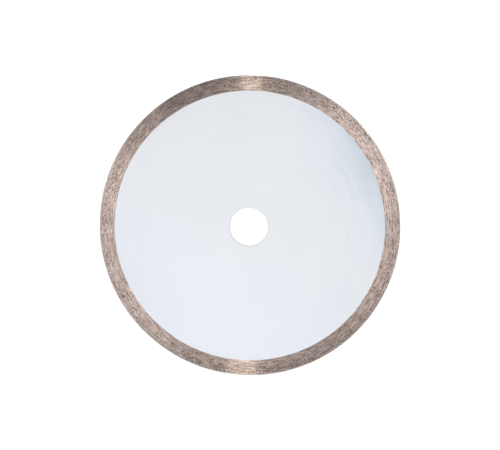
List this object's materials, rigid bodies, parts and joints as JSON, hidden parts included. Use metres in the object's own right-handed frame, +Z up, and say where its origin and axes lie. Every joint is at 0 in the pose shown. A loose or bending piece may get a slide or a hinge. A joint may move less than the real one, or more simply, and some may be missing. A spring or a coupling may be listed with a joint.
{
  "type": "diamond blade",
  "caption": "Continuous-rim diamond saw blade: a ground steel core with a plain round arbor bore and a sintered diamond rim keyed around its edge, for wet cutting of tile and stone.",
  "frame": {"origin": "centre of the arbor bore, halfway through the blade's thickness", "axes": "+Y along the spin axis, from the front face to the back face; the blade stands upright in the XZ plane, with +X to the right as the front face is seen and +Z up"},
  "size_m": [0.2, 0.0022, 0.2],
  "materials": {
    "core_steel": "ground and lightly polished, bare",
    "rim_bond": "sintered bronze bond with diamond grit, ground around the rim"
  },
  "bodies": {
    "root": {"steel_core": "core_steel", "diamond_rim": "rim_bond"}
  },
  "joints": []
}
